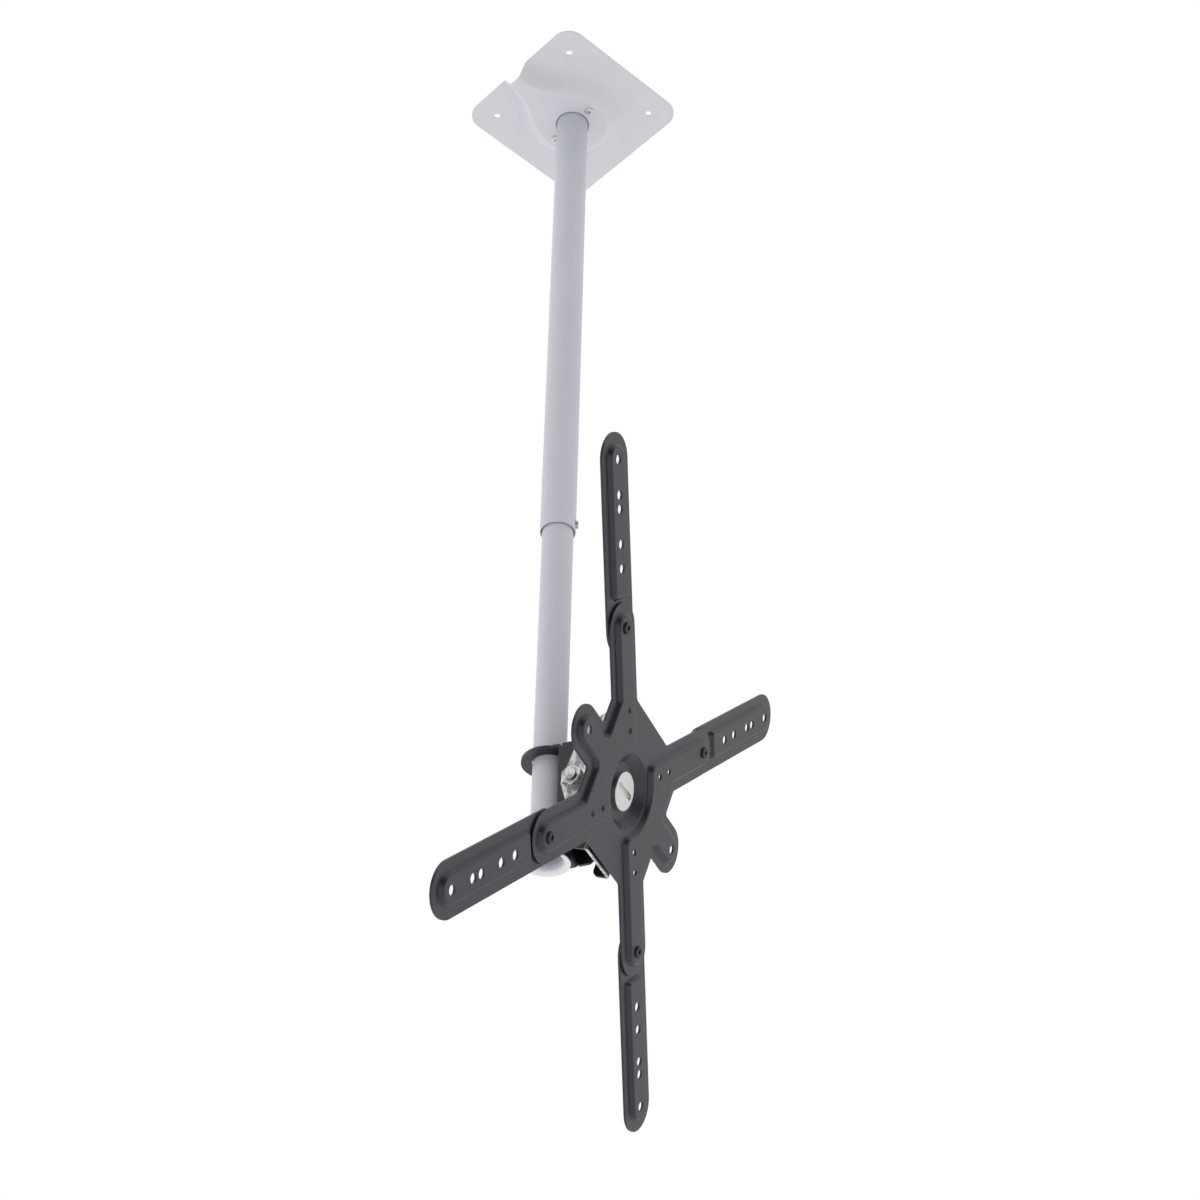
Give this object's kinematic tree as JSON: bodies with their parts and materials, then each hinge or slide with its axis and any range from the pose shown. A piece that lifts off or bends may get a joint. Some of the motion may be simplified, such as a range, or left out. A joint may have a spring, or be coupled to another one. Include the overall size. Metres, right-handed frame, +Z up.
{
  "type": "tv ceiling mount",
  "caption": "Ceiling mount for a screen: pressed ceiling plate, telescopic pole, swivel and tilt head, and a pressed screen plate with swinging arms.",
  "frame": {"origin": "centre of the ceiling plate's bolt pattern, on the face that lies against the ceiling", "axes": "+Z up along the pole; the cable channel leaves the plate on -X; the screen plate faces mostly -Y, turned 25.9 degrees towards +X and leaning 18.3 degrees down"},
  "size_m": [0.4564, 0.3128, 1.1237],
  "materials": {
    "silver_paint": "satin powder coat",
    "black_paint": "satin powder coat",
    "zinc": "bright zinc plate",
    "grey_plastic": "moulded",
    "black_plastic": "moulded",
    "black_oxide": "black oxide"
  },
  "bodies": {
    "ceiling": {"ceiling_plate": "silver_paint", "pole_flange": "silver_paint", "flange_screws": "zinc", "flange_nuts": "zinc", "outer_tube": "silver_paint", "guide_bush": "black_plastic", "lock_screw": "zinc"},
    "mast": {"inner_tube": "silver_paint", "top_glide": "grey_plastic"},
    "swivel": {"swivel_bracket": "black_paint", "swivel_collar": "black_plastic", "tilt_yoke": "black_paint", "yoke_rivets": "black_oxide", "tilt_bolt": "zinc", "tilt_washers": "zinc", "tilt_nut": "zinc"},
    "tilt_head": {"tilt_bracket": "zinc", "friction_disc": "black_plastic", "hub_bolt": "zinc", "hub_washer": "zinc", "hub_nut": "zinc"},
    "screen": {"hub_plate": "black_paint", "pivot_screws": "black_oxide", "pivot_bushes": "black_plastic", "pivot_washers": "black_oxide", "pivot_nuts": "black_oxide"},
    "arm_upper_right_body": {"arm_upper_right": "black_paint"},
    "arm_upper_left_body": {"arm_upper_left": "black_paint"},
    "arm_lower_left_body": {"arm_lower_left": "black_paint"},
    "arm_lower_right_body": {"arm_lower_right": "black_paint"}
  },
  "joints": [
    {"name": "height", "type": "slide", "parent": "ceiling", "child": "mast", "axis": [0, 0, 1], "range_m": [-0.08, 0.25]},
    {"name": "swivel", "type": "hinge", "parent": "mast", "child": "swivel", "pos_m": [0, 0, -0.963], "axis": [0, 0, 1], "continuous": true},
    {"name": "tilt", "type": "hinge", "parent": "swivel", "child": "tilt_head", "pos_m": [0.01529, -0.03148, -0.9087], "axis": [0.8996, 0.4368, 0], "range_deg": [-23.3, 1.7]},
    {"name": "roll", "type": "hinge", "parent": "tilt_head", "child": "screen", "pos_m": [0.03277, -0.06748, -0.91351], "axis": [0.4147, -0.8541, -0.314], "continuous": true},
    {"name": "swing_upper_right", "type": "hinge", "parent": "screen", "child": "arm_upper_right_body", "pos_m": [0.13644, -0.05205, -0.81856], "axis": [0.4147, -0.8541, -0.314], "range_deg": [-60, 60]},
    {"name": "swing_upper_left", "type": "hinge", "parent": "screen", "child": "arm_upper_left_body", "pos_m": [-0.04347, -0.13941, -0.81856], "axis": [0.4147, -0.8541, -0.314], "range_deg": [-60, 60]},
    {"name": "swing_lower_left", "type": "hinge", "parent": "screen", "child": "arm_lower_left_body", "pos_m": [-0.0709, -0.08291, -1.00845], "axis": [0.4147, -0.8541, -0.314], "range_deg": [-60, 60]},
    {"name": "swing_lower_right", "type": "hinge", "parent": "screen", "child": "arm_lower_right_body", "pos_m": [0.10901, 0.00445, -1.00845], "axis": [0.4147, -0.8541, -0.314], "range_deg": [-60, 60]}
  ]
}
